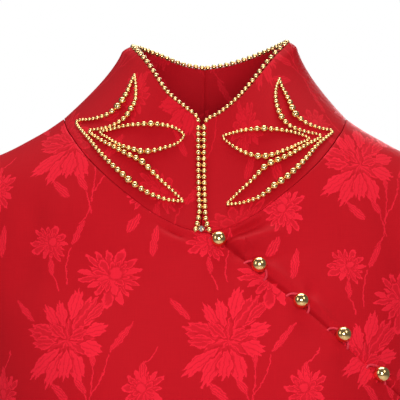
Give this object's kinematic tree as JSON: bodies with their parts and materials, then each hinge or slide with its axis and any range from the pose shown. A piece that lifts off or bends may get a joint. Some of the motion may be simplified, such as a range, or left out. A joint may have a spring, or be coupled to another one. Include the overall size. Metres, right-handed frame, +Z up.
{
  "type": "cheongsam dress, worn",
  "caption": "Sleeveless cheongsam dress in its worn form, with a tall open-fronted stand collar, a slanting ball-button fastening and side slits.",
  "frame": {"origin": "midway between the two points where the collar meets the shoulder seams, where the wearer holds the dress up", "axes": "+Z up along the wearer's body, the front of the dress faces -Y, so the wearer's right side is at -X"},
  "size_m": [0.3832, 0.2606, 1.1851],
  "materials": {
    "red_satin": "red satin jacquard with lighter woven flowers",
    "red_cord": "satin rouleau cord",
    "gold": "polished gold-coloured plate",
    "silver": "bright silver-coloured setting"
  },
  "bodies": {
    "root": {"front_panel": "red_satin", "under_panel": "red_satin", "back_panel": "red_satin", "collar_right": "red_satin", "collar_left": "red_satin", "button_1": "gold", "button_2": "gold", "button_3": "gold", "button_4": "gold", "button_5": "gold", "loop_1": "red_cord", "loop_2": "red_cord", "loop_3": "red_cord", "loop_4": "red_cord", "loop_5": "red_cord", "hook_stone": "silver", "edge_beads_right": "gold", "edge_beads_left": "gold", "front_beads_right": "gold", "front_beads_left": "gold", "leaf_outer_right": "gold", "leaf_inner_right": "gold", "leaf_middle_right": "gold", "leaf_outer_left": "gold", "leaf_inner_left": "gold", "leaf_middle_left": "gold"}
  },
  "joints": []
}
